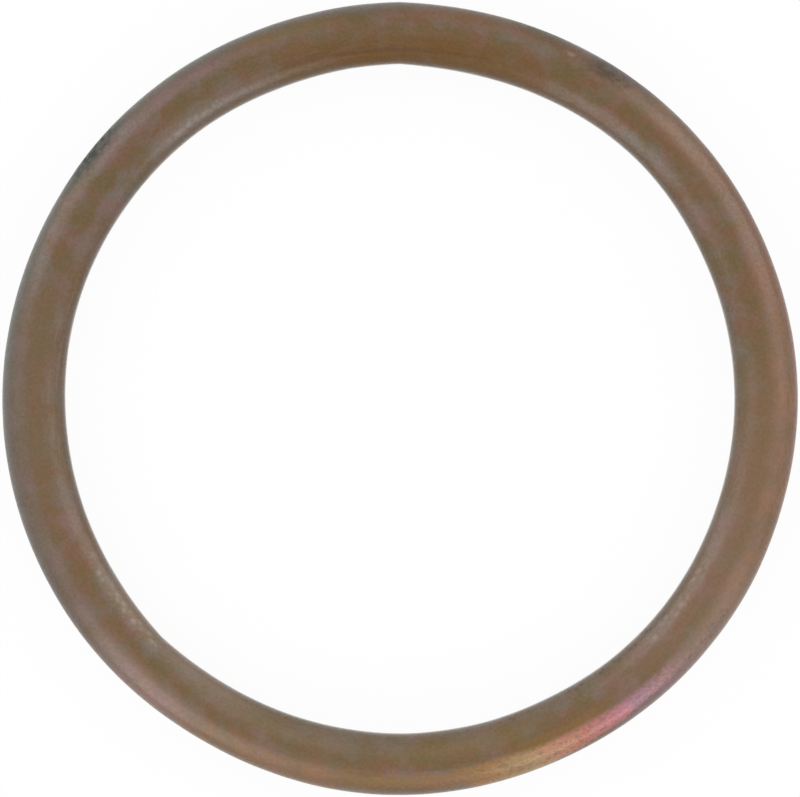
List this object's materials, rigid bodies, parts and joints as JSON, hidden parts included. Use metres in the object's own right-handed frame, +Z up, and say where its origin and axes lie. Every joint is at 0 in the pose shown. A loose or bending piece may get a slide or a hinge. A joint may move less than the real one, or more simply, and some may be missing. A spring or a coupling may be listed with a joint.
{
  "type": "exhaust gasket",
  "caption": "Crush ring of folded soft copper sheet that seals an exhaust pipe's flange to its port, hollow so that it flattens as the flange is bolted up.",
  "frame": {"origin": "on the bore's axis, in the plane of the lower seat, on which the ring lies", "axes": "+Z up along the bore's axis, from the port to the pipe; +X and +Y across the ring, which is alike all round"},
  "size_m": [0.045, 0.045, 0.004],
  "materials": {
    "tarnished_copper": "satin"
  },
  "bodies": {
    "root": {"gasket_ring": "tarnished_copper"}
  },
  "joints": []
}
